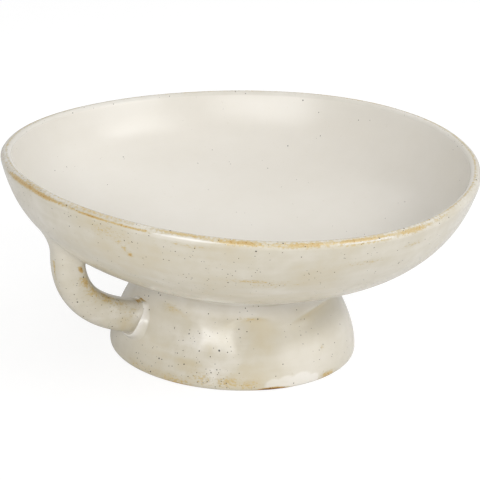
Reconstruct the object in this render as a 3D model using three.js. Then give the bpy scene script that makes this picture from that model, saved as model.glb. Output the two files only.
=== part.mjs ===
// A footed stoneware serving bowl with one small loop handle, in millimetres, +Z up.
// The dish and its bell-shaped foot are thrown on the wheel, the handle is a pulled strap of clay, and
// coils of soft clay lute the three together. Then the whole pot is pushed a little out of round by hand.
// The origin is on the table under the middle of the rim, and the handle points along -X.

import * as THREE from 'three';
import { LoftGeometry } from 'three/addons/geometries/LoftGeometry.js';

const { clamp, degToRad, lerp, smoothstep } = THREE.MathUtils;

// Dish: slopes are in degrees from level, and a reach is how far a curve holds its slope.
const rimRadius = 139.3;
const bowlHeight = 114.5;
const lipThickness = 6.4;
const lipSlope = 70;
const wallReach = 33;
const bellyReach = 57;
const floorThickness = 9;

// Neck, where the foot meets the underside of the dish.
const neckRadius = 52;
const neckHeight = 46.5;
const neckSlope = 15;
const undersideDip = 6;
const neckSeat = 9;

// Foot: a hollow bell, open below, that stands on a flat ring.
const footRadius = 72;
const footWall = 8.5;
const footShoulderSlope = 141;
const footShoulderReach = 15;
const footSideReach = 11;
const footInnerReach = 14;
const footOuterEdge = 2.4;
const footInnerEdge = 1.4;

// Handle: a strap of squarish oval section that leaves the underside of the dish and bends in to the foot.
const handleWidth = 20;
const handleThickness = 17.9;
const handleSquareness = 2.6;
const handleTopInset = 31.2;
const handleTopSlope = -92.6;
const handleTopReach = 24.9;
const handleFootMargin = 5.8;
const handleFootSlope = 191.7;
const handleFootReach = 27.7;
const handleRoot = 26;

// Luting: every joint keeps a thin line of slip between the pieces, and coils fill the corners.
const slipJoint = 0.3;
const coilHeel = 1.2;
const coilToe = 0.6;
const outerCoilReach = 9;
const outerCoilDrop = 5;
const innerCoilReach = 7;
const innerCoilDrop = 7;
const topCollarInnerReach = 2.2;
const topCollarOuterReach = 8;
const topCollarSpread = 3;
const topCollarBulge = 0.1;
const footCollarReach = 4.4;
const footCollarRise = 4;
const footCollarBulge = 0.9;

// Marks of the hand: the rim is swollen in plan and waves up and down, the belly hangs lower on one side,
// and thumbs pressed a row of dents in the foot, each creased above and running out below.
const ovalSwell = 3.3;
const ovalAngle = 74;
const eggSwell = 3.5;
const rimWave = 3.1;
const rimWaveAngle = 24;
const rimLean = 1.6;
const rimLeanAngle = -30;
const handRise = 1.5;
const bellyLift = 0.6;
const bellyLean = 1.5;
const bellyLeanAngle = 150;
const bellyHeight = 62;
const bellySpread = 30;
const dentCount = 8;
const dentDepth = 2.2;
const dentAngle = 24;
const dentWidth = 25;
const dentHeight = 40;
const dentCrease = 1;
const dentScoop = 6;
const dentFade = 12;

// Fineness of the surfaces.
const wheelSteps = 64;
const footSteps = 14;
const handleSides = 24;
const handleSteps = 20;

const glaze = 0xe0dccf;
const bareClay = 0xc9b79a;

const polar = (length, degrees) =>
  new THREE.Vector2(Math.cos(degToRad(degrees)), Math.sin(degToRad(degrees))).multiplyScalar(length);

// Carries a profile on to a point, leaving and arriving at the slopes given.
function carryOn(path, leaveSlope, leaveReach, end, arriveSlope, arriveReach) {
  const leave = path.currentPoint.clone().add(polar(leaveReach, leaveSlope));
  const arrive = end.clone().sub(polar(arriveReach, arriveSlope));
  return path.bezierCurveTo(leave.x, leave.y, arrive.x, arrive.y, end.x, end.y);
}

// Point at a fraction of a profile's length, standing off to the right of it.
function standOff(path, fraction, distance) {
  const tangent = path.getTangent(fraction);
  const normal = new THREE.Vector2(tangent.y, -tangent.x);
  return path.getPoint(fraction).addScaledVector(normal, distance);
}

// Fraction of a profile's length at which its radius reaches a value.
function fractionAtRadius(path, radius) {
  let [low, high] = [0, 1];
  for (let i = 0; i < 40; i++) {
    const middle = (low + high) / 2;
    if (path.getPoint(middle).x < radius) low = middle;
    else high = middle;
  }
  return low;
}

// Outside of the dish, from the middle of its underside, past the neck, up to where the lip rounds over.
const lipRadius = lipThickness / 2;
const lipStart = new THREE.Vector2(rimRadius, bowlHeight - lipRadius * (1 + Math.cos(degToRad(lipSlope))));
const neck = new THREE.Vector2(neckRadius, neckHeight);
const outside = new THREE.Path().moveTo(0, neckHeight - undersideDip);
carryOn(outside, 0, neckRadius / 3, neck, neckSlope, neckRadius / 3);
carryOn(outside, neckSlope, bellyReach, lipStart, lipSlope, wallReach);

// Outside and inside of the foot. Its top is a seat that follows the underside, a slip line below it.
const seatInner = fractionAtRadius(outside, neckRadius - neckSeat);
const seatOuter = fractionAtRadius(outside, neckRadius);
const footTop = standOff(outside, seatOuter, slipJoint);
const hollowTop = standOff(outside, seatInner, slipJoint);
const footOutside = new THREE.Path().moveTo(footRadius, footOuterEdge);
carryOn(footOutside, 90, footSideReach, footTop, footShoulderSlope, footShoulderReach);
const footInside = new THREE.Path().moveTo(hollowTop.x, hollowTop.y);
const hollowFoot = new THREE.Vector2(footRadius - footWall, footInnerEdge);
carryOn(footInside, -90, footInnerReach, hollowFoot, -90, footInnerReach);

// Revolves a profile about the upright axis.
const thrown = (profile) => new THREE.LatheGeometry(profile, wheelSteps).rotateX(Math.PI / 2);

// The dish: the inside follows the outside at the thickness of the wall, which thins towards the lip.
const wallSteps = 16;
const lipSteps = 6;
const insideWall = [];
for (let i = wallSteps; i >= 0; i--) {
  const fraction = i / wallSteps;
  insideWall.push(standOff(outside, fraction, -lerp(floorThickness, lipThickness, fraction)));
}
insideWall.at(-1).x = 0;
const lipCentre = lipStart.clone().add(polar(lipRadius, lipSlope + 90));
const lip = [];
for (let i = 1; i < lipSteps; i++) {
  lip.push(lipCentre.clone().add(polar(lipRadius, lipSlope - 90 + (180 * i) / lipSteps)));
}
const outsideWall = outside.getSpacedPoints(wallSteps);
const bowl = thrown([...outsideWall, ...lip, ...insideWall]);

// The foot: a closed profile down the hollow, across the ring that it stands on and up the outside.
const footWallPoints = footOutside.getSpacedPoints(footSteps);
const footInnerRound = new THREE.QuadraticBezierCurve(
  hollowFoot,
  new THREE.Vector2(hollowFoot.x, 0),
  new THREE.Vector2(hollowFoot.x + footInnerEdge, 0),
);
const footOuterRound = new THREE.QuadraticBezierCurve(
  new THREE.Vector2(footRadius - footOuterEdge, 0),
  new THREE.Vector2(footRadius, 0),
  new THREE.Vector2(footRadius, footOuterEdge),
);
const foot = thrown([
  ...footInside.getSpacedPoints(6),
  ...footInnerRound.getPoints(2).slice(1),
  ...footOuterRound.getPoints(3).slice(0, -1),
  ...footWallPoints,
  hollowTop,
]);

// Ring of clay in the corner between two walls. Each wall is a function that gives the point a way along
// it from the corner, standing off it; the face of the coil is a cove that the potter wiped smooth.
function coil(firstWall, firstReach, secondWall, secondReach, corner) {
  const along = (reach) => [coilHeel, (coilHeel + reach) / 2, reach];
  const firstTouch = along(firstReach).map((way) => firstWall(way, slipJoint));
  const secondTouch = along(secondReach).map((way) => secondWall(way, slipJoint));
  const cove = new THREE.QuadraticBezierCurve(
    firstWall(firstReach, slipJoint + coilToe),
    corner,
    secondWall(secondReach, slipJoint + coilToe),
  );
  return thrown([...firstTouch, ...cove.getPoints(5), ...secondTouch.reverse(), firstTouch[0]]);
}

const onUnderside = (start, sense) => (way, distance) =>
  standOff(outside, start + (sense * way) / outside.getLength(), distance);
const downFoot = (way, distance) => standOff(footOutside, 1 - way / footOutside.getLength(), distance);
const downHollow = (way, distance) => standOff(footInside, way / footInside.getLength(), distance);
const footOuterCoil = coil(downFoot, outerCoilDrop, onUnderside(seatOuter, 1), outerCoilReach, footTop);
const footInnerCoil = coil(onUnderside(seatInner, -1), innerCoilReach, downHollow, innerCoilDrop, hollowTop);

// Middle line of the handle as radius and height, with a root buried in each of the walls it joins.
const topSeat = outside.getPoint(fractionAtRadius(outside, rimRadius - handleTopInset));
const footSeat = downFoot(outerCoilDrop + handleFootMargin + footCollarReach + handleThickness / 2, 0);
const topRoot = topSeat.clone().sub(polar(handleRoot, handleTopSlope));
const footRoot = footSeat.clone().add(polar(handleRoot, handleFootSlope));
const handleLine = new THREE.Path().moveTo(topRoot.x, topRoot.y).lineTo(topSeat.x, topSeat.y);
carryOn(handleLine, handleTopSlope, handleTopReach, footSeat, handleFootSlope, handleFootReach);
handleLine.lineTo(footRoot.x, footRoot.y);

// Point on the handle's section, or on one around the same line that is grown by a margin or has less girth.
const squarish = (wave) => Math.sign(wave) * Math.abs(wave) ** (2 / handleSquareness);
function strand(fraction, angle, grow, girth) {
  const across = girth * (handleThickness / 2 + grow) * squarish(Math.cos(angle));
  const out = girth * (handleWidth / 2 + grow) * squarish(Math.sin(angle));
  const inPlane = standOff(handleLine, fraction, across);
  return new THREE.Vector3(-inPlane.x, out, inPlane.y);
}

// Distance of a point from a thrown wall, positive on the open side of its profile.
function clearance(profile, point) {
  const at = new THREE.Vector2(Math.hypot(point.x, point.y), point.z);
  let nearest = Infinity;
  let side = 1;
  for (let i = 1; i < profile.length; i++) {
    const along = profile[i].clone().sub(profile[i - 1]);
    const from = at.clone().sub(profile[i - 1]);
    const share = clamp(from.dot(along) / along.lengthSq(), 0, 1);
    const distance = from.clone().addScaledVector(along, -share).length();
    if (distance >= nearest) continue;
    nearest = distance;
    side = Math.sign(from.cross(along)) || 1;
  }
  return side * nearest;
}

// The two ends of the handle: where its line is buried, and the wall it runs into.
const bowlEnd = { root: 0, wall: outsideWall };
const footEnd = { root: 1, wall: footWallPoints };

// Point where a strand comes within a gap of the wall at one end, as a fraction of the line.
function strandEnd(end, gap, angle, grow, girth) {
  let buried = end.root;
  let free = 0.5;
  for (let i = 0; i < 40; i++) {
    const middle = (buried + free) / 2;
    if (clearance(end.wall, strand(middle, angle, grow, girth)) < gap) buried = middle;
    else free = middle;
  }
  return free;
}

// The handle: every strand runs from the slip line on the dish to the slip line on the foot.
const angles = Array.from({ length: handleSides }, (_, i) => (-2 * Math.PI * i) / handleSides);
const handleRing = (along, girth) =>
  angles.map((angle) => {
    const top = strandEnd(bowlEnd, slipJoint, angle, 0, girth);
    const bottom = strandEnd(footEnd, slipJoint, angle, 0, girth);
    return strand(lerp(top, bottom, along), angle, 0, girth);
  });
const handleRings = [handleRing(0, 0), handleRing(0, 0.5)];
for (let i = 0; i <= handleSteps; i++) handleRings.push(handleRing(i / handleSteps, 1));
handleRings.push(handleRing(1, 0.5), handleRing(1, 0));
const handle = new LoftGeometry(handleRings);

// Collar of clay round one end of the handle: a cove where bulge is 0, a rounded bead where it is 1.
// It spreads over the wall by a reach and along the handle by a rise, given for each angle round the handle.
function collar(end, reachAt, riseAt, bulge) {
  const sections = angles.map((angle) => {
    const [reach, rise] = [reachAt(angle), riseAt(angle)];
    const at = (grow, gap) => strand(strandEnd(end, gap, angle, grow, 1), angle, grow, 1);
    const hollow = at(slipJoint + coilToe, slipJoint + coilToe);
    const face = new THREE.QuadraticBezierCurve3(
      at(reach, slipJoint + coilToe),
      hollow.lerp(at(reach, rise), bulge),
      at(slipJoint + coilToe, rise),
    );
    const heel = at(slipJoint, slipJoint);
    const onWall = at(lerp(slipJoint, reach, 0.5), slipJoint);
    const onHandle = at(slipJoint, lerp(slipJoint, rise, 0.5));
    const section = [heel, onWall, at(reach, slipJoint), ...face.getPoints(5), at(slipJoint, rise), onHandle];
    return end.root ? section : section.reverse();
  });
  return new LoftGeometry([...sections, sections[0]]);
}
const outerFace = (angle) => ((1 - Math.cos(angle)) / 2) ** topCollarSpread;
const topReach = (angle) => lerp(topCollarInnerReach, topCollarOuterReach, outerFace(angle));
const handleTopCollar = collar(bowlEnd, topReach, topReach, topCollarBulge);
const handleFootCollar = collar(footEnd, () => footCollarReach, () => footCollarRise, footCollarBulge);

// Moves a point of the true, turned form to where the potter's hands left it.
function pushByHand(point) {
  const radius = Math.hypot(point.x, point.y);
  if (radius === 0) return point;
  const angle = Math.atan2(point.y, point.x);
  const wave = (count, degrees) => Math.cos(count * (angle - degToRad(degrees)));
  const rise = clamp((point.z - neckHeight) / (bowlHeight - neckHeight), 0, 1) ** handRise;
  const share = (rise * radius) / rimRadius;
  const swell = ovalSwell * wave(2, ovalAngle) + eggSwell * wave(3, 0);
  const lift = rimWave * wave(2, rimWaveAngle) + rimLean * wave(1, rimLeanAngle);
  const pitch = 360 / dentCount;
  const turned = THREE.MathUtils.radToDeg(angle) - dentAngle;
  const offCentre = (turned - pitch * Math.round(turned / pitch)) / (dentWidth / 2);
  const below = dentCrease * Math.log1p(Math.exp((dentHeight - point.z) / dentCrease));
  const scooped = (below / dentScoop) * Math.exp(1 - below / dentScoop);
  const offAxis = Math.min(radius / neckRadius, 1);
  const onFoot = offAxis * (1 - smoothstep(radius, footRadius, footRadius + dentFade));
  const dent = dentDepth * onFoot * Math.exp(-(offCentre ** 2)) * scooped;
  const onBelly = offAxis * Math.exp(-(((point.z - bellyHeight) / bellySpread) ** 2));
  const sag = (bellyLift + bellyLean * wave(1, bellyLeanAngle)) * onBelly * clamp(point.z / neckHeight, 0, 1);
  const pushed = radius + swell * share - dent;
  return point.set(pushed * Math.cos(angle), pushed * Math.sin(angle), point.z + lift * share + sag);
}

function piece(name, geometry, color, roughness) {
  const positions = geometry.getAttribute('position');
  const point = new THREE.Vector3();
  for (let i = 0; i < positions.count; i++) {
    pushByHand(point.fromBufferAttribute(positions, i));
    positions.setXYZ(i, point.x, point.y, point.z);
  }
  geometry.computeVertexNormals();
  const mesh = new THREE.Mesh(geometry, new THREE.MeshStandardMaterial({ color, roughness, metalness: 0 }));
  mesh.name = name;
  return mesh;
}

// The pot is set over by its egg-shaped swelling, so that the rim and not the foot is centred.
const pot = new THREE.Group();
pot.add(
  piece('bowl', bowl, glaze, 0.3),
  piece('foot', foot, glaze, 0.35),
  piece('handle', handle, glaze, 0.35),
  piece('foot_outer_coil', footOuterCoil, glaze, 0.35),
  piece('foot_inner_coil', footInnerCoil, bareClay, 0.8),
  piece('handle_top_collar', handleTopCollar, glaze, 0.35),
  piece('handle_foot_collar', handleFootCollar, glaze, 0.35),
);
pot.position.x = -eggSwell;

const part = new THREE.Group();
part.add(pot);

export default part;
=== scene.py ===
import math

import bmesh
import bpy
import numpy as np
from mathutils import Matrix, Vector


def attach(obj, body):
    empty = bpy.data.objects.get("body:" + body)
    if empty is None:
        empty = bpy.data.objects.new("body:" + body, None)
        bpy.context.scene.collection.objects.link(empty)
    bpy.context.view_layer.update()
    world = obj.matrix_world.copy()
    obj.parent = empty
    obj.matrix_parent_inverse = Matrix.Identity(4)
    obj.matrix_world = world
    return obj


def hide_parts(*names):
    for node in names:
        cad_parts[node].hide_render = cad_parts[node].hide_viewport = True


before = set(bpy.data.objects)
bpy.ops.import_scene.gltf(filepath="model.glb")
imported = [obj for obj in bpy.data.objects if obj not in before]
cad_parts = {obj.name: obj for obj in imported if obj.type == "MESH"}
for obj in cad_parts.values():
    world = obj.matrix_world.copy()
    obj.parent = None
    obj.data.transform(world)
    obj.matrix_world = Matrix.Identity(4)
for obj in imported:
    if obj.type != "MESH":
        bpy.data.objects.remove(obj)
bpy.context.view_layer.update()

# The dish
# A wide shallow bowl of buff stoneware, thrown on the wheel, with a lip rounded by a wet finger. While it
# was soft it was pushed out of round, so the plan is a little egg-shaped and the rim waves up and down.

mm = 0.001
rim_radius = 139.3 * mm
bowl_height = 114.5 * mm
lip_thickness = 6.4 * mm
lip_slope = 70
wall_reach = 33 * mm
belly_reach = 57 * mm
floor_thickness = 9 * mm
wall_thinning, thinnest_drop = 2.2 * mm, 36 * mm
neck_radius = 52 * mm
neck_height = 46.5 * mm
neck_slope = 15
underside_dip = 6 * mm
oval_swell, oval_angle = 3.3 * mm, 74
egg_swell = 3.5 * mm
rim_wave, rim_wave_angle = 3.1 * mm, 24
rim_lean, rim_lean_angle = 1.6 * mm, -30
belly_lift, belly_lean, belly_lean_angle = 0.6 * mm, 1.5 * mm, 150
belly_height, belly_spread = 62 * mm, 30 * mm
hand_rise = 1.5
lump_count, lump_least, lump_most, lump_height = 16, 40 * mm, 120 * mm, 0.8 * mm
lump_free_foot = 15 * mm
bare_inset = 14 * mm
wheel_steps = 360
sharp_edge = 50
weld = 0.0001 * mm

chance = np.random.default_rng(11)
lump_ways = chance.normal(size=(lump_count, 3))
lump_ways /= np.linalg.norm(lump_ways, axis=1)[:, None]
lump_ways *= 2 * np.pi / chance.uniform(lump_least, lump_most, (lump_count, 1))
lump_starts = chance.uniform(0, 2 * np.pi, lump_count)


def polar(length, degrees):
    """A length in a direction, as radius and height."""
    return length * np.array([math.cos(math.radians(degrees)), math.sin(math.radians(degrees))])


def sloped_curve(start, leave, leave_reach, end, arrive, arrive_reach, steps):
    """A profile from start to end, as radius and height, that leaves and arrives at slopes in degrees."""
    t = np.linspace(0, 1, steps + 1)[:, None]
    second = start + polar(leave_reach, leave)
    third = end - polar(arrive_reach, arrive)
    return (1 - t) ** 3 * start + 3 * (1 - t) ** 2 * t * second + 3 * (1 - t) * t**2 * third + t**3 * end


def stand_off(line, distance):
    """A profile moved to its right by a distance, which may change along it."""
    along = np.gradient(line, axis=0)
    along /= np.linalg.norm(along, axis=1)[:, None]
    return line + np.stack([along[:, 1], -along[:, 0]], 1) * np.reshape(distance, (-1, 1))


def thrown(profile):
    """Rings of points, one for each point of a profile, turned about the upright axis."""
    angle = np.linspace(0, 2 * np.pi, wheel_steps, endpoint=False)
    radius, height = profile[:, :1], profile[:, 1:]
    return np.stack([radius * np.cos(angle), radius * np.sin(angle), height + 0 * angle], -1)


def hand_shaped(points):
    """Moves points of the true turned pot to where the potter's hands left them."""
    x, y, z = np.moveaxis(points, -1, 0)
    radius, angle = np.hypot(x, y), np.arctan2(y, x)
    rise = np.clip((z - neck_height) / (bowl_height - neck_height), 0, 1) ** hand_rise
    share = rise * radius / rim_radius
    swell = oval_swell * np.cos(2 * (angle - math.radians(oval_angle))) + egg_swell * np.cos(3 * angle)
    lift = rim_wave * np.cos(2 * (angle - math.radians(rim_wave_angle)))
    lift = lift + rim_lean * np.cos(angle - math.radians(rim_lean_angle))
    belly = np.exp(-(((z - belly_height) / belly_spread) ** 2)) * np.clip(radius / neck_radius, 0, 1)
    sag = belly_lift + belly_lean * np.cos(angle - math.radians(belly_lean_angle))
    sag = sag * belly * np.clip(z / neck_height, 0, 1)
    # The pressure of the fingers leaves faint lumps, none of them where the pot stands.
    lumps = np.sin(points @ lump_ways.T + lump_starts).mean(-1)
    settle = np.clip(z / lump_free_foot, 0, 1) * np.clip(radius / neck_radius, 0, 1)
    pushed = radius + swell * share + lump_height * lumps * settle
    return np.stack([pushed * np.cos(angle) - egg_swell, pushed * np.sin(angle), z + lift * share + sag], -1)


def clay_piece(name, rings, looped=False, bare_rings=0, **traits):
    """A mesh through rings of points; looped joins the last ring to the first. Traits become attributes, and
    the faces of the first rings take the second material."""
    count, around = rings.shape[:2]
    mesh = bpy.data.meshes.new(name)
    ring = np.arange(count if looped else count - 1)[:, None]
    step = np.arange(around)
    after, beside = (ring + 1) % count, (step + 1) % around
    corners = [ring * around + step, ring * around + beside, after * around + beside, after * around + step]
    faces = np.stack(corners, -1).reshape(-1, 4)
    mesh.from_pydata(rings.reshape(-1, 3).tolist(), [], faces.tolist())
    bare_faces = np.arange(len(faces)) < bare_rings * around
    mesh.polygons.foreach_set("material_index", bare_faces.astype(np.int32))
    for trait, values in traits.items():
        layer = mesh.attributes.new(trait, "FLOAT", "POINT")
        values = np.broadcast_to(values, (count, around))
        layer.data.foreach_set("value", values.astype(np.float32).ravel())
    form = bmesh.new()
    form.from_mesh(mesh)
    bmesh.ops.remove_doubles(form, verts=form.verts, dist=weld)
    bmesh.ops.recalc_face_normals(form, faces=form.faces)
    form.to_mesh(mesh)
    form.free()
    mesh.shade_smooth()
    mesh.set_sharp_from_angle(angle=math.radians(sharp_edge))
    piece = bpy.data.objects.new(name, mesh)
    bpy.context.scene.collection.objects.link(piece)
    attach(piece, "root")
    return piece


def angle_from(rings, degrees):
    """How far round the pot each point is from an angle, in degrees."""
    turned = np.degrees(np.arctan2(rings[..., 1], rings[..., 0])) - degrees
    return (turned + 180) % 360 - 180


def patches(rings, marks):
    """A value that is strongest at marks, each by angle, height, spread round, spread up and strength."""
    total = np.zeros(rings.shape[:2])
    for angle, height, wide, tall, strength in marks:
        off_round = angle_from(rings, angle) / wide
        off_up = (rings[..., 2] - height) / tall
        total = np.maximum(total, strength * np.exp(-(off_round**2) - off_up**2))
    return total


lip_radius = lip_thickness / 2
lip_start = np.array([rim_radius, bowl_height - lip_radius * (1 + math.cos(math.radians(lip_slope)))])
neck = np.array([neck_radius, neck_height])
underside = sloped_curve(
    np.array([0, neck_height - underside_dip]), 0, neck_radius / 3, neck, neck_slope, neck_radius / 3, 24
)
side = sloped_curve(neck, neck_slope, belly_reach, lip_start, lip_slope, wall_reach, 80)
outside = np.concatenate([underside, side[1:]])
travelled = np.cumsum(np.r_[0, np.linalg.norm(np.diff(outside, axis=0), axis=1)])
wall = floor_thickness + (lip_thickness - floor_thickness) * travelled / travelled[-1]
# The wall was drawn up thinnest some way below the rim.
below_rim = (travelled[-1] - travelled) / thinnest_drop
wall = wall - wall_thinning * below_rim**2 * np.exp(1 - below_rim**2)
inside = stand_off(outside, -wall)[::-1]
inside[-1, 0] = 0
lip_turn = np.linspace(0, 180, 25)[1:-1]
lip_centre = lip_start + polar(lip_radius, lip_slope + 90)
lip = np.array([lip_centre + polar(lip_radius, lip_slope - 90 + turn) for turn in lip_turn])
dish_rings = thrown(np.concatenate([outside, lip, inside]))

# Glaze lies thickest inside. It breaks on the lip in strokes, each with an angle, a spread round the rim, a
# place on the lip's turn, a spread over it and a depth, and in a dotted line where the lip turns in.
lip_breaks = [
    (160, 18, 66, 35, 0.4),
    (178, 11, 52, 26, 1.0),
    (184, 11, 90, 30, 0.55),
    (189, 8, 48, 22, 1.0),
    (197, 6, 52, 20, 0.62),
    (208, 8, 46, 13, 0.68),
    (210, 14, 88, 26, 0.5),
    (219, 8, 44, 13, 0.75),
    (229, 9, 84, 30, 0.65),
    (241, 7, 70, 38, 0.72),
    (254, 10, 64, 40, 0.68),
    (268, 10, 64, 42, 0.8),
    (280, 9, 62, 38, 0.78),
    (291, 8, 72, 30, 0.42),
    (300, 11, 86, 28, 0.27),
    (322, 18, 95, 25, 0.3),
    (350, 22, 80, 22, 0.35),
    (60, 30, 90, 25, 0.35),
    (115, 25, 80, 25, 0.3),
]
line_turn, line_spread, line_depth = 108, 16, 0.5
inner_way = np.cumsum(np.r_[0, np.linalg.norm(np.diff(inside, axis=0), axis=1)])
below_lip = np.degrees((travelled - travelled[-1]) / lip_radius)
past_lip = 180 + np.degrees(inner_way / lip_radius)
far_turn = np.concatenate([below_lip, lip_turn, past_lip])[:, None]
edge = line_depth * np.exp(-(((far_turn - line_turn) / line_spread) ** 2))
for angle, wide, turn, tall, depth in lip_breaks:
    stroke = np.exp(-((angle_from(dish_rings, angle) / wide) ** 2) - ((far_turn - turn) / tall) ** 2)
    edge = np.maximum(edge, depth * stroke)
# Pale strokes where the lip is fullest are painted highlight lines, given in the same way; there the
# glaze is also left unbroken.
highlight_strokes = [(229, 7, 42, 7, 1), (268, 8, 48, 8, 0.7)]
painted_highlight = 0
for angle, wide, turn, tall, depth in highlight_strokes:
    stroke = np.exp(-((angle_from(dish_rings, angle) / wide) ** 4) - ((far_turn - turn) / tall) ** 2)
    painted_highlight = np.maximum(painted_highlight, depth * stroke)
edge = edge * (1 - painted_highlight)
# Three traits drive the glaze: coat is how thick it lies, edge how far it has broken, grit how many iron
# specks show. In a few places coat and edge also carry painted highlight and shade. Low on the outside it
# has run a little thicker.
side_coat, lip_coat, inside_coat, highlight_coat = 0.65, (0.66, 0.8), 0.795, 0.2
run_coat, run_height, run_fade = 0.05, 80 * mm, 25 * mm
side_grit, lip_grit, inside_grit, edge_grit = 0.42, (0.5, 0.2), 0.03, 0.8
low_coat = side_coat + run_coat * np.clip((run_height - outside[:, 1]) / run_fade, 0, 1)
coat = np.r_[low_coat, np.linspace(*lip_coat, len(lip)), np.full(len(inside), inside_coat)]
coat = coat[:, None] + highlight_coat * painted_highlight
over_lip = np.linspace(*lip_grit, len(lip))
grit = np.r_[np.full(len(outside), side_grit), over_lip, np.full(len(inside), inside_grit)]
grit = grit[:, None] + edge_grit * edge
# Brown burns and thin tan strokes on the outside.
burns = [
    (213.6, 102 * mm, 0.9, 2 * mm, 0.5),
    (214.9, 98.5 * mm, 0.9, 2 * mm, 0.55),
    (216.0, 95.2 * mm, 0.8, 1.5 * mm, 0.8),
    (212, 106 * mm, 6, 5 * mm, 0.3),
    (243.6, 88 * mm, 6, 1.5 * mm, 0.45),
    (249, 86 * mm, 7, 3 * mm, 0.3),
    (230, 109 * mm, 5, 1.5 * mm, 0.35),
    (270, 98 * mm, 6, 2 * mm, 0.35),
    (282, 104 * mm, 4, 2 * mm, 0.35),
]
outer = np.r_[np.ones(len(outside) + len(lip)), np.zeros(len(inside))][:, None]
edge = np.maximum(edge, patches(dish_rings, burns) * outer)
# The middle of the underside, over the hollow foot, is bare clay.
hidden = (underside[:, 0] < neck_radius - bare_inset).sum()
dish = clay_piece("dish", hand_shaped(dish_rings), bare_rings=hidden, coat=coat, edge=edge, grit=grit)


def linear(shade):
    """An sRGB hex colour as linear light."""
    channels = [int(shade[i : i + 2], 16) / 255 for i in (1, 3, 5)]
    return [c / 12.92 if c <= 0.04045 else ((c + 0.055) / 1.055) ** 2.4 for c in channels] + [1]


def put(material, kind, inputs=(), **settings):
    """Adds a node with its settings; an input is a value or another node's output."""
    made = material.node_tree.nodes.new("ShaderNode" + kind)
    for key, value in settings.items():
        setattr(made, key, value)
    for key, value in dict(inputs).items():
        if isinstance(value, bpy.types.NodeSocket):
            material.node_tree.links.new(value, made.inputs[key])
        else:
            made.inputs[key].default_value = value
    return made


def new_material(name):
    """A material with no nodes yet."""
    material = bpy.data.materials.new(name)
    material.use_nodes = True
    material.node_tree.nodes.clear()
    return material


# Satin stoneware glaze, dipped and fired in reduction. It is a soft cream where it lies thick, turns beige
# and tan where it is thin, breaks to ochre on edges, and iron specks from the clay burn through it.
glaze = new_material("satin_cream_glaze")
place = put(glaze, "TexCoord").outputs["Object"]
coat_here = put(glaze, "Attribute", attribute_name="coat").outputs["Fac"]
edge_here = put(glaze, "Attribute", attribute_name="edge").outputs["Fac"]
grit_here = put(glaze, "Attribute", attribute_name="grit").outputs["Fac"]
# The dip is uneven: it drifts slowly, runs and streaks round the pot, and is mottled and ragged close to.
drift = put(glaze, "TexNoise", {"Vector": place, "Scale": 1 / (40 * mm), "Detail": 2}).outputs["Fac"]
mottle = put(glaze, "TexNoise", {"Vector": place, "Scale": 1 / (7 * mm), "Detail": 3}).outputs["Fac"]
ragged_size = (1 / (1.8 * mm), 1 / (1.8 * mm), 1 / (1.1 * mm))
ragged_place = put(glaze, "VectorMath", {0: place, 1: ragged_size}, operation="MULTIPLY").outputs[0]
ragged_look = {"Vector": ragged_place, "Scale": 1, "Detail": 3, "Roughness": 0.6}
ragged = put(glaze, "TexNoise", ragged_look).outputs["Fac"]
streak_size = (1 / (60 * mm), 1 / (60 * mm), 1 / (9 * mm))
streak_place = put(glaze, "VectorMath", {0: place, 1: streak_size}, operation="MULTIPLY").outputs[0]
streaks = put(glaze, "TexNoise", {"Vector": streak_place, "Scale": 1, "Detail": 1}).outputs["Fac"]
brush_size = (1 / (35 * mm), 1 / (35 * mm), 1 / (3 * mm))
brush_place = put(glaze, "VectorMath", {0: place, 1: brush_size}, operation="MULTIPLY").outputs[0]
brushed = put(glaze, "TexNoise", {"Vector": brush_place, "Scale": 1, "Detail": 2}).outputs["Fac"]
uneven = put(glaze, "Math", {0: drift, 1: 2.2, 2: streaks}, operation="MULTIPLY_ADD").outputs[0]
uneven = put(glaze, "Math", {0: brushed, 1: 0.5, 2: uneven}, operation="MULTIPLY_ADD").outputs[0]
uneven = put(glaze, "Math", {0: mottle, 1: 1.0, 2: uneven}, operation="MULTIPLY_ADD").outputs[0]
uneven = put(glaze, "Math", {0: uneven, 1: 2.35}, operation="SUBTRACT").outputs[0]
swing = put(glaze, "Math", {0: grit_here, 1: 0.22, 2: 0.015}, operation="MULTIPLY_ADD").outputs[0]
cover = put(glaze, "Math", {0: uneven, 1: swing, 2: coat_here}, operation="MULTIPLY_ADD").outputs[0]
# Edges break in ragged flakes over a pale wash of ochre, with fine dots where the clay is grainy.
broken = put(glaze, "Math", {0: ragged, 1: 1.5, 2: edge_here}, operation="MULTIPLY_ADD").outputs[0]
broken = put(glaze, "MapRange", {"Value": broken, "From Min": 1.0, "From Max": 1.35}).outputs[0]
faded = put(glaze, "Math", {0: edge_here, 1: 0.5, 2: 0.5}, operation="MULTIPLY_ADD").outputs[0]
worn = put(glaze, "Math", {0: faded, 1: broken}, operation="MULTIPLY").outputs[0]
wash = put(glaze, "Math", {0: edge_here, 1: 0.3}, operation="MULTIPLY").outputs[0]
worn = put(glaze, "Math", {0: worn, 1: 0.78, 2: wash}, operation="MULTIPLY_ADD").outputs[0]
dots = put(glaze, "TexNoise", {"Vector": place, "Scale": 1 / (0.9 * mm), "Detail": 1}).outputs["Fac"]
dot_range = {"Value": dots, "From Min": 0.52, "From Max": 0.68, "To Min": 1, "To Max": 1.45}
dots = put(glaze, "MapRange", dot_range)
worn = put(glaze, "Math", {0: worn, 1: dots.outputs[0]}, operation="MULTIPLY").outputs[0]
cover = put(glaze, "Math", {0: worn, 1: -0.4, 2: cover}, operation="MULTIPLY_ADD").outputs[0]
glaze_tones = [
    (0.0, "#6f4720"),
    (0.1, "#9c7038"),
    (0.25, "#bd9c61"),
    (0.42, "#c6b184"),
    (0.54, "#c7bb9f"),
    (0.64, "#cdc6b5"),
    (0.82, "#e2ded6"),
    (1.0, "#f0ede7"),
]
tones = put(glaze, "ValToRGB", {"Fac": cover})
for position, shade in glaze_tones[1:-1]:
    tones.color_ramp.elements.new(position)
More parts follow.
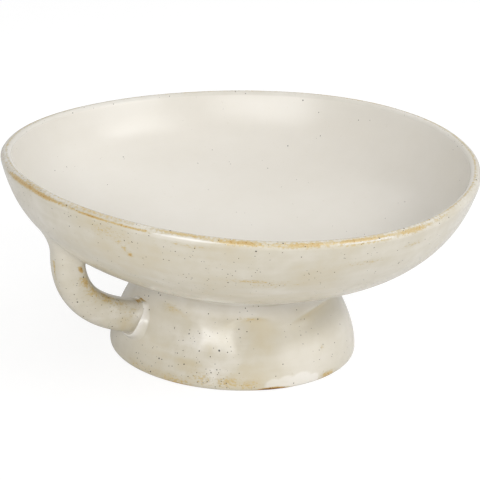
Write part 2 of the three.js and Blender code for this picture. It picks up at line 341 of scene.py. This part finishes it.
for stop, (position, shade) in zip(tones.color_ramp.elements, glaze_tones):
    stop.position, stop.color = position, linear(shade)
colour = tones.outputs["Color"]
# Iron specks in three sizes: how far apart their places are, their radius and their colour. They come in
# flocks, each cell draws whether it holds one, and a fine shake makes their outlines uneven.
shaken = put(glaze, "TexNoise", {"Vector": place, "Scale": 1 / (0.8 * mm), "Detail": 1}).outputs["Color"]
shaken = put(glaze, "VectorMath", {0: shaken, "Scale": 0.5 * mm}, operation="SCALE").outputs[0]
speck_place = put(glaze, "VectorMath", {0: place, 1: shaken}, operation="ADD").outputs[0]
flock = put(glaze, "TexNoise", {"Vector": place, "Scale": 1 / (18 * mm), "Detail": 1}).outputs["Fac"]
flock_range = {"Value": flock, "From Min": 0.4, "From Max": 0.62, "To Min": 0.15, "To Max": 1.5}
flock = put(glaze, "MapRange", flock_range)
share = put(glaze, "Math", {0: flock.outputs[0], 1: grit_here}, operation="MULTIPLY").outputs[0]
specks = [(2.1 * mm, 0.34 * mm, "#3c2913"), (4.2 * mm, 0.44 * mm, "#24170c"), (9 * mm, 0.6 * mm, "#180f07")]
for spacing, radius, shade in specks:
    cells = put(glaze, "TexVoronoi", {"Vector": speck_place, "Scale": 1 / spacing})
    lot = put(glaze, "SeparateColor", {0: cells.outputs["Color"]})
    kept = put(glaze, "Math", {0: lot.outputs[0], 1: share}, operation="LESS_THAN").outputs[0]
    size = radius / spacing
    reach = put(glaze, "MapRange", {"Value": lot.outputs[1], "To Min": 0.6 * size, "To Max": 1.2 * size})
    near = put(glaze, "Math", {0: reach.outputs[0], 1: cells.outputs["Distance"]}, operation="SUBTRACT")
    speck = put(glaze, "MapRange", {"Value": near.outputs[0], "From Max": 0.3 * size, "To Max": 0.95})
    speck = put(glaze, "Math", {0: speck.outputs[0], 1: kept}, operation="MULTIPLY").outputs[0]
    mixed = put(glaze, "Mix", {0: speck, 6: colour, 7: linear(shade)}, data_type="RGBA")
    colour = mixed.outputs[2]
# Inside, where the glaze is thick and almost free of specks, it is less shiny than outside.
gloss = put(glaze, "MapRange", {"Value": mottle, "To Min": 0.14, "To Max": 0.24}).outputs[0]
softer = put(glaze, "MapRange", {"Value": grit_here, "From Max": 0.25, "To Min": 0.335, "To Max": 0})
gloss = put(glaze, "Math", {0: gloss, 1: softer.outputs[0]}, operation="MAXIMUM").outputs[0]
gloss = put(glaze, "Math", {0: worn, 1: 0.04, 2: gloss}, operation="MULTIPLY_ADD").outputs[0]
skin = put(glaze, "BsdfPrincipled", {"Base Color": colour, "Roughness": gloss, "IOR": 1.45})
put(glaze, "OutputMaterial", {"Surface": skin.outputs[0]})

# Dry buff stoneware where no glaze was put: matt, a little sandy, with the same iron specks.
bare = new_material("bare_buff_clay")
place = put(bare, "TexCoord").outputs["Object"]
sand = put(bare, "TexNoise", {"Vector": place, "Scale": 1 / (1.2 * mm), "Detail": 4}).outputs["Fac"]
clay_tones = [(0.3, "#b69a72"), (0.5, "#c6ac84"), (0.7, "#d0b892")]
tones = put(bare, "ValToRGB", {"Fac": sand})
for position, shade in clay_tones[1:-1]:
    tones.color_ramp.elements.new(position)
for stop, (position, shade) in zip(tones.color_ramp.elements, clay_tones):
    stop.position, stop.color = position, linear(shade)
iron = put(bare, "TexVoronoi", {"Vector": place, "Scale": 1 / (3 * mm)}).outputs["Distance"]
iron = put(bare, "MapRange", {"Value": iron, "From Min": 0.08, "From Max": 0.14, "To Min": 0.8, "To Max": 0})
colour = tones.outputs["Color"]
mixed = put(bare, "Mix", {0: iron.outputs[0], 6: colour, 7: linear("#5a442c")}, data_type="RGBA")
grain = put(bare, "Bump", {"Height": sand, "Distance": 0.15 * mm, "Strength": 0.5}).outputs[0]
skin = put(bare, "BsdfPrincipled", {"Base Color": mixed.outputs[2], "Roughness": 0.85, "Normal": grain})
put(bare, "OutputMaterial", {"Surface": skin.outputs[0]})
dish.data.materials.append(glaze)
dish.data.materials.append(bare)
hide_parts("bowl")

# The foot
# A bell thrown upside down as a second piece and turned over, hollow and open below. It stands on a flat
# ring wiped clean of glaze, and the thumbs that set it on the dish pressed a row of shallow hollows in it.

foot_radius = 72 * mm
foot_wall = 8.5 * mm
foot_shoulder_slope, foot_shoulder_reach = 141, 15 * mm
foot_side_reach = 11 * mm
foot_inner_reach = 14 * mm
foot_outer_edge, foot_inner_edge = 2.4 * mm, 1.4 * mm
neck_seat = 9 * mm
# Each thumb mark has an angle, the height of its creased upper edge, a depth, a half width in degrees, a
# lean of the edge and the distance from the edge to its deepest place. Its lengths are in millimetres.
thumb_marks = [
    (208, 39, 1.5, 12, -3, 5),
    (252, 39.5, 2.0, 9, 0, 7),
    (294, 39, 3.0, 20, 1.5, 6),
    (339, 38, 0.8, 14, 0, 6),
    (24, 39, 2.0, 14, 1, 6),
    (69, 40, 2.4, 14, -2, 6),
    (114, 38, 1.8, 13, 1, 6),
    (153, 49, 2.4, 15, 0, 8),
]
crease, thumb_arch, thumb_fade = 0.5 * mm, 1.6 * mm, 12 * mm


def below_marks(points):
    """For each thumb mark: its depth, how far points lie across it in half widths and below its crease, and
    how far its deepest place is from the crease."""
    for mark_angle, top, depth, half_width, lean, scoop in thumb_marks:
        across = angle_from(points, mark_angle) / half_width
        below = (top + lean * np.clip(across, -1.5, 1.5)) * mm - thumb_arch * across**2 - points[..., 2]
        yield depth * mm, across, crease * np.logaddexp(0, below / crease), scoop * mm


def thumbed(points):
    """Presses the row of thumb marks into points of the foot: sharp above, running out below."""
    x, y, z = np.moveaxis(points, -1, 0)
    radius, angle = np.hypot(x, y), np.arctan2(y, x)
    pressed = 0
    for depth, across, below, scoop in below_marks(points):
        pressed = pressed + depth * np.exp(-(across**2)) * below / scoop * np.exp(1 - below / scoop)
    pressed = pressed * np.clip((foot_radius + thumb_fade - radius) / thumb_fade, 0, 1)
    pressed = pressed * np.clip(radius / neck_radius, 0, 1) ** 2
    return np.stack([(radius - pressed) * np.cos(angle), (radius - pressed) * np.sin(angle), z], -1)


def rounded(start, corner, end, steps):
    """A small rounded edge from start to end, as radius and height."""
    t = np.linspace(0, 1, steps + 1)[:, None]
    return (1 - t) ** 2 * start + 2 * (1 - t) * t * corner + t**2 * end


hollow_top = np.array([neck_radius - neck_seat, np.interp(neck_radius - neck_seat, *underside.T)])
hollow_foot = np.array([foot_radius - foot_wall, foot_inner_edge])
foot_start = np.array([foot_radius, foot_outer_edge])
foot_outside = sloped_curve(
    foot_start, 90, foot_side_reach, neck, foot_shoulder_slope, foot_shoulder_reach, 110
)
foot_inside = sloped_curve(hollow_top, -90, foot_inner_reach, hollow_foot, -90, foot_inner_reach, 40)
ring_inner, ring_outer = hollow_foot * [1, 0], foot_start * [1, 0]
inner_round = rounded(hollow_foot, ring_inner, ring_inner + [foot_inner_edge, 0], 6)
outer_round = rounded(ring_outer - [foot_outer_edge, 0], ring_outer, foot_start, 10)
foot_profile = np.concatenate([foot_inside, inner_round[1:], outer_round[:-1], foot_outside])
foot_rings = thrown(foot_profile)
level = foot_rings[..., 2]

# A sponge wiped the lower edge bare, higher in three places. The fire toasted the glaze beside it and in a
# few spots above.
wiped_spots = [(217, 0, 8, 5 * mm, 0.5), (260, 0, 8, 5 * mm, 1.1), (289, 0, 6, 5 * mm, 0.6)]
wipe_least, wipe_gain, wipe_fade, wipe_most = 0.15, 2.2, 1.2 * mm, 1.4
bare_line = wipe_least + patches(foot_rings, wiped_spots)
wiped = np.clip(wipe_gain * bare_line - level / wipe_fade, 0, wipe_most)
toasted = [
    (197, 2.5 * mm, 12, 3.5 * mm, 0.25),
    (216, 2 * mm, 9, 3.5 * mm, 0.36),
    (228, 6 * mm, 7, 4 * mm, 0.42),
    (238, 5 * mm, 8, 4 * mm, 0.42),
    (248, 4 * mm, 6, 3 * mm, 0.35),
    (289, 2.4 * mm, 5.5, 1.8 * mm, 0.7),
    (205, 38 * mm, 7, 3 * mm, 0.3),
    (248, 38 * mm, 6, 1.2 * mm, 0.3),
    (288, 18 * mm, 2, 2 * mm, 0.35),
]
# Glaze that ran down set in a pale pool with a crisp outline, a little proud of the wall.
pools = [
    (260, 3 * mm, 4.5, 4 * mm, 1),
    (266, 3.5 * mm, 5, 4.5 * mm, 1),
    (274, 4 * mm, 6, 4.5 * mm, 1),
    (281, 3 * mm, 3, 3 * mm, 1),
]
pool_swell, pool_gain, pool_cut = 0.002, 6, 2
pooled = np.clip(patches(foot_rings, pools) * pool_gain - pool_cut, 0, 1)
# Below the crease of each thumb mark the glaze is thinner and darker, which also paints the shade under
# the crease. Above the creases it is paler, thicker glaze that also paints light into the shade under the
# dish.
thin_shade_start, thin_shade_fade, thin_shade_depth, thin_shade_least = 1.5 * mm, 9 * mm, 3 * mm, 0.4
gathered_light_height, gathered_light_fade = 35 * mm, 9 * mm
thin_shade = 0
for depth, across, below, scoop in below_marks(foot_rings):
    crossed = np.clip(below / thin_shade_start, 0, 1)
    strength = np.clip(depth / thin_shade_depth, thin_shade_least, 1)
    thin_shade = np.maximum(thin_shade, np.exp(-(across**2)) * crossed * np.exp(-below / thin_shade_fade) * strength)
gathered_light = np.clip((level - gathered_light_height) / gathered_light_fade, 0, 1)
# The glaze is thinner on the side of the handle, with some paler and some more tanned places; three
# of the paler places are painted light, and one tanned place is painted shade.
thin_side, side_tone = 200, 0.03
tone = -side_tone * np.cos(np.radians(angle_from(foot_rings, thin_side)))
paler_and_lit = [
    # Painted light on the right side, a painted second highlight low on the front, and painted light on the
    # left:
    (288, 14 * mm, 22, 10 * mm, 0.04),
    (231, 10 * mm, 6, 5 * mm, 0.08),
    (212, 18 * mm, 10, 14 * mm, 0.05),
    (267, 19 * mm, 7, 7 * mm, 0.04),
]
tone = tone + patches(foot_rings, paler_and_lit)
tanned_and_shaded = [
    (288, 26 * mm, 10, 8 * mm, 0.02),
    (281, 39 * mm, 8, 4 * mm, 0.06),
    (199, 14 * mm, 12, 12 * mm, 0.04),
    (238, 5 * mm, 12, 5 * mm, 0.05),
    (255, 30 * mm, 8, 8 * mm, 0.045),
    # Painted shade that dims the key lamp's highlight:
    (234, 31 * mm, 8, 8 * mm, 0.06),
]
tone = tone - patches(foot_rings, tanned_and_shaded)
bell_coat, pool_coat, gathered_light_coat, thin_shade_coat = 0.69, 0.11, 0.15, 0.2
unshaded = 1 - np.clip(2 * thin_shade, 0, 1)
# The painted shade below the creases and the painted light under the dish go into the coat here.
foot_coat = bell_coat + tone + pool_coat * pooled + gathered_light_coat * gathered_light * unshaded - thin_shade_coat * thin_shade
foot_edge = np.maximum(wiped, patches(foot_rings, toasted) * (1 - pooled))
# The clay has a field of iron specks on one side.
bell_grit, speck_field = 0.25, [(225, 18 * mm, 24, 24 * mm, 0.9)]
foot_grit = bell_grit + patches(foot_rings, speck_field) + foot_edge
grown = foot_rings.copy()
grown[..., :2] *= 1 + pool_swell * pooled[..., None]
bare_rings = len(foot_inside) + len(inner_round)
bell = clay_piece(
    "bell_foot",
    hand_shaped(thumbed(grown)),
    bare_rings=bare_rings,
    coat=foot_coat,
    edge=foot_edge,
    grit=foot_grit,
)
bell.data.materials.append(glaze)
bell.data.materials.append(bare)
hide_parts("foot")

# The coils that lute the foot to the dish
# Soft ropes of the same clay, pressed into the corner outside and inside the joint and wiped to a cove with
# a finger, so that the dish runs into the foot without a step. The glaze covers the outer one.

outer_coil_reach, outer_coil_drop = 9 * mm, 5 * mm
inner_coil_reach, inner_coil_drop = 7 * mm, 7 * mm
coil_coat, coil_grit = (0.76, 0.68), 0.6
sunk = 0.8 * mm


def along(line, distance):
    """The point a distance along a profile from its start."""
    gone = np.cumsum(np.r_[0, np.linalg.norm(np.diff(line, axis=0), axis=1)])
    return np.array([np.interp(distance, gone, line[:, 0]), np.interp(distance, gone, line[:, 1])])


def cove(first, first_reach, second, second_reach, corner):
    """Closed profile of a coil in a corner: a wiped face, and a back that is sunk into both walls."""
    toe, heel = along(first, first_reach), along(second, second_reach)
    inward = corner - (toe + heel) / 2
    face = rounded(toe, corner, heel, 16)
    return np.concatenate([face, [corner + inward * sunk / np.linalg.norm(inward)]])


under_hollow = underside[underside[:, 0] <= hollow_top[0]][::-1]
outer_cove = cove(foot_outside[::-1], outer_coil_drop, side, outer_coil_reach, neck)
inner_cove = cove(under_hollow, inner_coil_reach, foot_inside, inner_coil_drop, hollow_top)
over_cove = np.linspace(*coil_coat, len(outer_cove))[:, None]
outer_shape = hand_shaped(thumbed(thrown(outer_cove)))
outer_coil = clay_piece("outer_coil", outer_shape, True, coat=over_cove, edge=0, grit=coil_grit)
outer_coil.data.materials.append(glaze)
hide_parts("foot_outer_coil")
inner_coil = clay_piece("inner_coil", hand_shaped(thumbed(thrown(inner_cove))), True)
inner_coil.data.materials.append(bare)
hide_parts("foot_inner_coil")

# The handle
# A strap pulled from a lump of wet clay, squarish in section, bent while soft from the underside of the dish
# in to the foot. It is thick for its size, and leaves a gap that takes one finger.

handle_width, handle_thickness, handle_squareness = 20 * mm, 17.9 * mm, 2.6
handle_top_radius, handle_top_slope, handle_top_reach = 108.1 * mm, -92.6, 24.9 * mm
handle_foot_height, handle_foot_slope, handle_foot_reach = 26.5 * mm, 191.7, 27.7 * mm
handle_root = 26 * mm
handle_sides, handle_steps, bend_steps, root_steps = 96, 120, 200, 40
halvings = 30

top_seat = np.array([handle_top_radius, np.interp(handle_top_radius, *side.T)])
foot_seat = np.array([np.interp(handle_foot_height, *foot_outside.T[::-1]), handle_foot_height])
handle_bend = sloped_curve(
    top_seat, handle_top_slope, handle_top_reach, foot_seat, handle_foot_slope, handle_foot_reach, bend_steps
)
handle_line = np.concatenate(
    [
        np.linspace(top_seat - polar(handle_root, handle_top_slope), top_seat, root_steps)[:-1],
        handle_bend,
        np.linspace(foot_seat, foot_seat + polar(handle_root, handle_foot_slope), root_steps)[1:],
    ]
)
line_way = np.cumsum(np.r_[0, np.linalg.norm(np.diff(handle_line, axis=0), axis=1)])
line_way /= line_way[-1]
line_right = stand_off(handle_line, 1) - handle_line
handle_turn = -np.linspace(0, 2 * np.pi, handle_sides, endpoint=False)
towards_foot = np.cos(handle_turn)


def squarish(wave):
    """A sine or cosine pushed out from a circle towards a square."""
    return np.sign(wave) * np.abs(wave) ** (2 / handle_squareness)


def strand(fraction, grow, girth=1):
    """Points round the handle, one for each turn, each at its own fraction of the middle line."""
    across = girth * (handle_thickness / 2 + grow) * squarish(np.cos(handle_turn))
    point = [np.interp(fraction, line_way, handle_line[:, i]) for i in (0, 1)]
    right = [np.interp(fraction, line_way, line_right[:, i]) for i in (0, 1)]
    out = girth * (handle_width / 2 + grow) * squarish(np.sin(handle_turn))
    return np.stack([-(point[0] + across * right[0]), out, point[1] + across * right[1]], -1)


def clear_of(wall_line, points):
    """Distance of points from a thrown wall, negative inside its clay."""
    at = np.stack([np.hypot(points[:, 0], points[:, 1]), points[:, 2]], -1)[:, None]
    start, run = wall_line[:-1], np.diff(wall_line, axis=0)
    share = np.clip(((at - start) * run).sum(-1) / (run**2).sum(-1), 0, 1)
    distance = np.linalg.norm(at - start - share[..., None] * run, axis=-1)
    nearest = distance.argmin(1)
    row = np.arange(len(at))
    offset = (at - start)[row, nearest]
    side_of = offset[:, 0] * run[nearest, 1] - offset[:, 1] * run[nearest, 0]
    return np.where(side_of < 0, -1, 1) * distance[row, nearest]


def strand_end(root, wall_line, gap, grow, girth=1):
    """Fractions of the line where the strands come within a gap of the wall at one end."""
    buried, free = np.full(handle_sides, float(root)), np.full(handle_sides, 0.5)
    for _ in range(halvings):
        middle = (buried + free) / 2
        inside_gap = clear_of(wall_line, strand(middle, grow, girth)) < gap
        buried, free = np.where(inside_gap, middle, buried), np.where(inside_gap, free, middle)
    return free


def handle_ring(share, girth=1):
    """A ring of the handle at a share of its way down, with both ends sunk into the walls."""
    top = strand_end(0, outside, -sunk, 0, girth)
    low = strand_end(1, foot_outside, -sunk, 0, girth)
    return strand(top + (low - top) * share, 0, girth)


handle_shares = np.linspace(0, 1, handle_steps + 1)
handle_rings = [handle_ring(0, 0), handle_ring(0, 0.5)]
handle_rings += [handle_ring(share) for share in handle_shares]
handle_rings += [handle_ring(1, 0.5), handle_ring(1, 0)]
handle_rings = np.array(handle_rings)
ring_share = np.r_[0, 0, handle_shares, 1, 1][:, None]
# Ochre wear on the handle; the broad marks along the edge of the gap also paint its shade. Each mark by its
# share of the way down, its turn from the side that faces the foot, its two spreads and its depth.
wear_and_shade_marks = [
    (0.11, -1.26, 0.03, 0.16, 1.3),
    # Broad ochre marks along the edge of the gap, which also paint its shade:
    (0.24, -1.1, 0.09, 0.45, 0.65),
    (0.38, -0.95, 0.13, 0.55, 0.45),
    (0.55, -0.6, 0.13, 0.55, 0.42),
    (0.7, -0.8, 0.15, 0.6, 0.36),
    (0.86, -1.0, 0.08, 0.6, 0.28),
    (0.95, -0.4, 0.03, 0.4, 0.8),
    (0.1, -3.03, 0.24, 0.1, 0.62),
    (0.4, 0.8, 0.2, 0.5, 0.6),
]
handle_wear_and_shade = 0
for share, mark_turn, long_spread, turn_spread, depth in wear_and_shade_marks:
    off_turn = (handle_turn - mark_turn + np.pi) % (2 * np.pi) - np.pi
    mark = np.exp(-(((ring_share - share) / long_spread) ** 2) - (off_turn / turn_spread) ** 2)
    handle_wear_and_shade = np.maximum(handle_wear_and_shade, depth * mark)
strap_grit, mark_grit = 0.4, 0.4
handle_grit = strap_grit + ring_share**2 + mark_grit * handle_wear_and_shade
# The glaze thins on the way down; near the foot, paler glaze paints light into the shaded corner.
strap_coat, coat_fall, corner_light_coat = 0.73, 0.25, 0.24
handle_coat = strap_coat - coat_fall * ring_share + corner_light_coat * ring_share**6
handle_shape = hand_shaped(thumbed(handle_rings))
handle = clay_piece("handle", handle_shape, coat=handle_coat, edge=handle_wear_and_shade, grit=handle_grit)
handle.data.materials.append(glaze)
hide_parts("handle")

# The collars round the handle's two ends
# Clay worked round the joints: smoothed to a small cove under the dish, and left as a raised bead on the
# foot, where the wet handle was pressed home.

cove_inner_reach, cove_outer_reach = 2.2 * mm, 8 * mm
bead_out, bead_height, bead_tail = 4.6 * mm, 2.3 * mm, 3.5 * mm
tongue, tongue_turn, tongue_spread = 0.4, -0.62, 0.32
lobe, lobe_turn, lobe_spread = 0.45, -1.75, 0.8
bead_ripple, bead_slack, bead_gain = 0.12, 0.7, 0.2
ridge_place, ridge_spread = 0.52, 0.2
cove_sink, bead_sink = 0.05 * mm, 0.1 * mm
collar_coat, ridge_highlight_coat, back_coat = 0.68, 0.17, 0.66
cove_grit, bead_grit = 0.3, 0.6
corner_break, corner_spread = 0.9, 0.35


def collar(name, root, wall_line, face, **traits):
    """A ring of clay round one end; the face is a row of distances from handle and wall, toe first."""
    rings = [strand(strand_end(root, wall_line, gap, grow), grow) for grow, gap in face]
    back = strand(strand_end(root, wall_line, -sunk, -sunk), -sunk)
    rings = np.array(rings + [back])
    piece = clay_piece(name, hand_shaped(thumbed(rings)), True, **traits)
    piece.data.materials.append(glaze)
    return piece


cove_reach = cove_inner_reach + (cove_outer_reach - cove_inner_reach) * ((1 - towards_foot) / 2) ** 3
cove_face = [(cove_reach * (1 - t) ** 2, cove_reach * t**2 - cove_sink) for t in np.linspace(0, 1, 17)]
top_collar = collar("top_collar", 0, outside, cove_face, coat=collar_coat, edge=0, grit=cove_grit)
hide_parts("handle_top_collar")
# The bead is slight above the handle and full below, with a tongue and a lobe on one side.
bead_size = 1 + bead_ripple * np.sin(3 * handle_turn + 1) - bead_slack * np.clip(towards_foot, 0, 1)
bead_size = bead_size + bead_gain * np.clip(-towards_foot, 0, 1)
bead_size = bead_size + tongue * np.exp(-(((handle_turn - tongue_turn) / tongue_spread) ** 2))
bead_size = bead_size + lobe * np.exp(-(((handle_turn - lobe_turn) / lobe_spread) ** 2))
bead_face, bead_coat = [], []
for t in np.linspace(0, 1, 25):
    # From the foot the bead swells to a ridge, dips to a groove and runs out along the handle.
    ridge = math.exp(-(((t - ridge_place) / ridge_spread) ** 2))
    grow = bead_out * (1 - t) ** 1.6 * bead_size
    gap = bead_height * ridge * bead_size + bead_tail * t**4 - bead_sink
    bead_face.append((grow, gap))
    bead_coat.append([collar_coat + ridge_highlight_coat * ridge])
# Thick pale glaze on the ridge also paints its highlight, and the glaze breaks in the corner above it.
bead_edge = corner_break * np.exp(-((handle_turn / corner_spread) ** 2))
bead_coat = np.array(bead_coat + [[back_coat]])
foot_collar = collar(
    "foot_collar", 1, foot_outside, bead_face, coat=bead_coat, edge=bead_edge, grit=bead_grit
)
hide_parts("handle_foot_collar")

# The studio
# A plain white table that runs on into the background, lit by soft boxes, and a long lens held a little
# above the rim and not quite level.

view_azimuth, view_elevation, view_roll = -30, 19.95, 2.74
view_distance = 1100 * mm
view_aim = np.array([1.8 * mm, 0, 63.5 * mm])
lens_angle, film_width = 14.4, 36
table_half = 3

view_turn = Matrix.Rotation(math.radians(view_azimuth), 3, "Z")
axis = Vector((-egg_swell, 0, 0))
rise = math.radians(view_elevation)
back = view_turn @ Vector((0, -math.cos(rise), math.sin(rise)))
right = view_turn @ Vector((1, 0, 0))
up = back.cross(right)
tilt = math.radians(view_roll)
level_x = right * math.cos(tilt) + up * math.sin(tilt)
level_y = up * math.cos(tilt) - right * math.sin(tilt)
camera = bpy.data.objects.new("camera", bpy.data.cameras.new("camera"))
bpy.context.scene.collection.objects.link(camera)
stand = Matrix.Translation(axis + view_turn @ Vector(view_aim) + back * view_distance)
camera.matrix_world = stand @ Matrix((level_x, level_y, back)).transposed().to_4x4()
camera.data.sensor_width = film_width
camera.data.angle = math.radians(lens_angle)
bpy.context.scene.camera = camera

table = bpy.data.objects.new("table", bpy.data.meshes.new("table"))
table_corners = [(table_half * x, table_half * y, 0) for x, y in [(-1, -1), (1, -1), (1, 1), (-1, 1)]]
table.data.from_pydata(table_corners, [], [(0, 1, 2, 3)])
bpy.context.scene.collection.objects.link(table)
# White card. The camera sees it a little brighter than it is, so that it stays white round a pale shadow.
white = new_material("white_card")
matt = put(white, "BsdfDiffuse", {"Color": linear("#f4f4f4")})
seen_matt = put(white, "BsdfDiffuse", {"Color": linear("#898989")})
seen_glow = put(white, "Emission", {"Color": linear("#ffffff"), "Strength": 0.82})
seen = put(white, "AddShader", {0: seen_matt.outputs[0], 1: seen_glow.outputs[0]})
sight = put(white, "LightPath").outputs["Is Camera Ray"]
card = put(white, "MixShader", {0: sight, 1: matt.outputs[0], 2: seen.outputs[0]})
put(white, "OutputMaterial", {"Surface": card.outputs[0]})
table.data.materials.append(white)

world = bpy.data.worlds.new("studio")
bpy.context.scene.world = world
world.use_nodes = True
world.node_tree.nodes.clear()
paths = put(world, "LightPath").outputs
room = put(world, "Background", {"Color": linear("#ffffff"), "Strength": 0.35})
mirrored = put(world, "Background", {"Color": linear("#ffffff"), "Strength": 0.8})
blank = put(world, "Background", {"Color": linear("#ffffff"), "Strength": 1})
shiny = put(world, "MixShader", {0: paths["Is Glossy Ray"], 1: room.outputs[0], 2: mirrored.outputs[0]})
surroundings = put(world, "MixShader", {0: paths["Is Camera Ray"], 1: shiny.outputs[0], 2: blank.outputs[0]})
put(world, "OutputWorld", {"Surface": surroundings.outputs[0]})

# Each soft box has its angle from the camera round the pot, its elevation, its distance, width and height in
# metres, and its power in watts.
soft_boxes = [
    ("key", -12, 25.5, 1.5, 1.2, 0.34, 10.2),
    ("right", 64, 44, 1.5, 1.0, 0.24, 6.3),
    ("right_low", 72, 14, 1.5, 1.5, 0.35, 2.7),
    ("left_low", -85, 5, 1.5, 1.2, 0.25, 0.9),
    ("top", 0, 88, 1.4, 1.2, 1.2, 1.5),
    ("back", -170, 50, 1.5, 1.4, 0.8, 2.5),
    ("back_right", 130, 45, 1.5, 1.0, 0.8, 2.1),
]
for name, azimuth, elevation, distance, wide, tall, power in soft_boxes:
    lamp = bpy.data.lights.new(name, "AREA")
    lamp.shape, lamp.size, lamp.size_y, lamp.energy = "RECTANGLE", wide, tall, power
    box = bpy.data.objects.new(name, lamp)
    bpy.context.scene.collection.objects.link(box)
    bearing, climb = math.radians(azimuth + view_azimuth), math.radians(elevation)
    level_way = Vector((math.sin(bearing), -math.cos(bearing), 0))
    away = level_way * math.cos(climb) + Vector((0, 0, math.sin(climb)))
    facing = away.to_track_quat("Z", "Y").to_matrix().to_4x4()
    box.matrix_world = Matrix.Translation(away * distance) @ facing

bpy.context.scene.view_settings.view_transform = "Standard"
